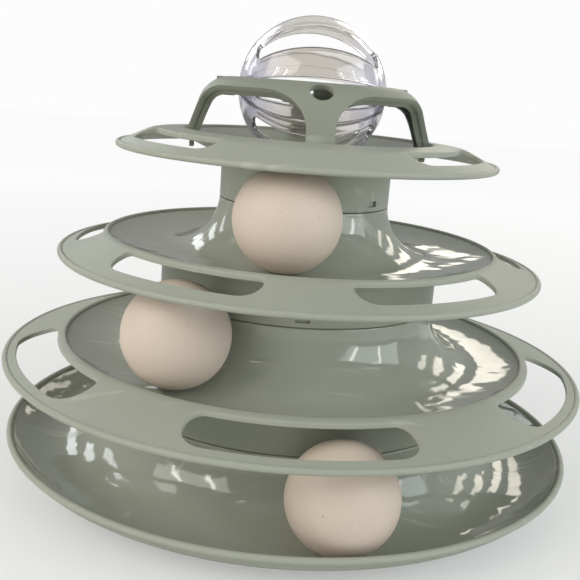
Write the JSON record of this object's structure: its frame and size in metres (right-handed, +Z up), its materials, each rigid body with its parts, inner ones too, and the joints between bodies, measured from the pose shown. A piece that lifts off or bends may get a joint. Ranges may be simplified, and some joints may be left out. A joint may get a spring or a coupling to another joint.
{
  "type": "cat ball track toy",
  "caption": "Stacked round tower of tapering track tiers with captive rolling balls, and a crown on top that holds a spinning slotted clear ball for a cat to bat.",
  "frame": {"origin": "on the table, under the middle of the tower, at the centre of the bounding box's base", "axes": "+Z up along the tower's axis; the clear ball's axle runs along X; -Y is the side that shows all three track balls"},
  "size_m": [0.25, 0.25, 0.1938],
  "materials": {
    "green_plastic": "sage green injection moulded polypropylene, satin on the flanges and glossy in the tracks",
    "ball_plastic": "warm grey-beige blow moulded balls, matte with fine dark specks",
    "clear_plastic": "clear polystyrene with a faint lavender tint, polished",
    "pad_rubber": "plain grey elastomer foot pads"
  },
  "bodies": {
    "base": {"base_dish": "green_plastic", "foot_pads": "pad_rubber"},
    "lower": {"lower_tier": "green_plastic"},
    "middle": {"middle_tier": "green_plastic"},
    "top": {"top_disc": "green_plastic", "crown": "green_plastic"},
    "clear_ball": {"clear_shell_upper": "clear_plastic", "clear_shell_lower": "clear_plastic", "pivot_pin_left": "clear_plastic", "pivot_pin_right": "clear_plastic"},
    "ball_low": {"track_ball_low": "ball_plastic"},
    "ball_middle": {"track_ball_middle": "ball_plastic"},
    "ball_high": {"track_ball_high": "ball_plastic"}
  },
  "joints": [
    {"name": "lower_twist", "type": "hinge", "parent": "base", "child": "lower", "pos_m": [0, 0, 0], "axis": [0, 0, 1], "range_deg": [0, 15]},
    {"name": "middle_twist", "type": "hinge", "parent": "lower", "child": "middle", "pos_m": [0, 0, 0], "axis": [0, 0, 1], "range_deg": [0, 15]},
    {"name": "top_twist", "type": "hinge", "parent": "middle", "child": "top", "pos_m": [0, 0, 0], "axis": [0, 0, 1], "range_deg": [0, 15]},
    {"name": "clear_spin", "type": "hinge", "parent": "top", "child": "clear_ball", "pos_m": [0, 0, 0.1633], "axis": [1, 0, 0], "continuous": true},
    {"name": "low_ball_orbit", "type": "hinge", "parent": "base", "child": "ball_low", "pos_m": [0, 0, 0], "axis": [0, 0, 1], "continuous": true},
    {"name": "middle_ball_orbit", "type": "hinge", "parent": "lower", "child": "ball_middle", "pos_m": [0, 0, 0], "axis": [0, 0, 1], "continuous": true},
    {"name": "high_ball_orbit", "type": "hinge", "parent": "middle", "child": "ball_high", "pos_m": [0, 0, 0], "axis": [0, 0, 1], "continuous": true}
  ]
}
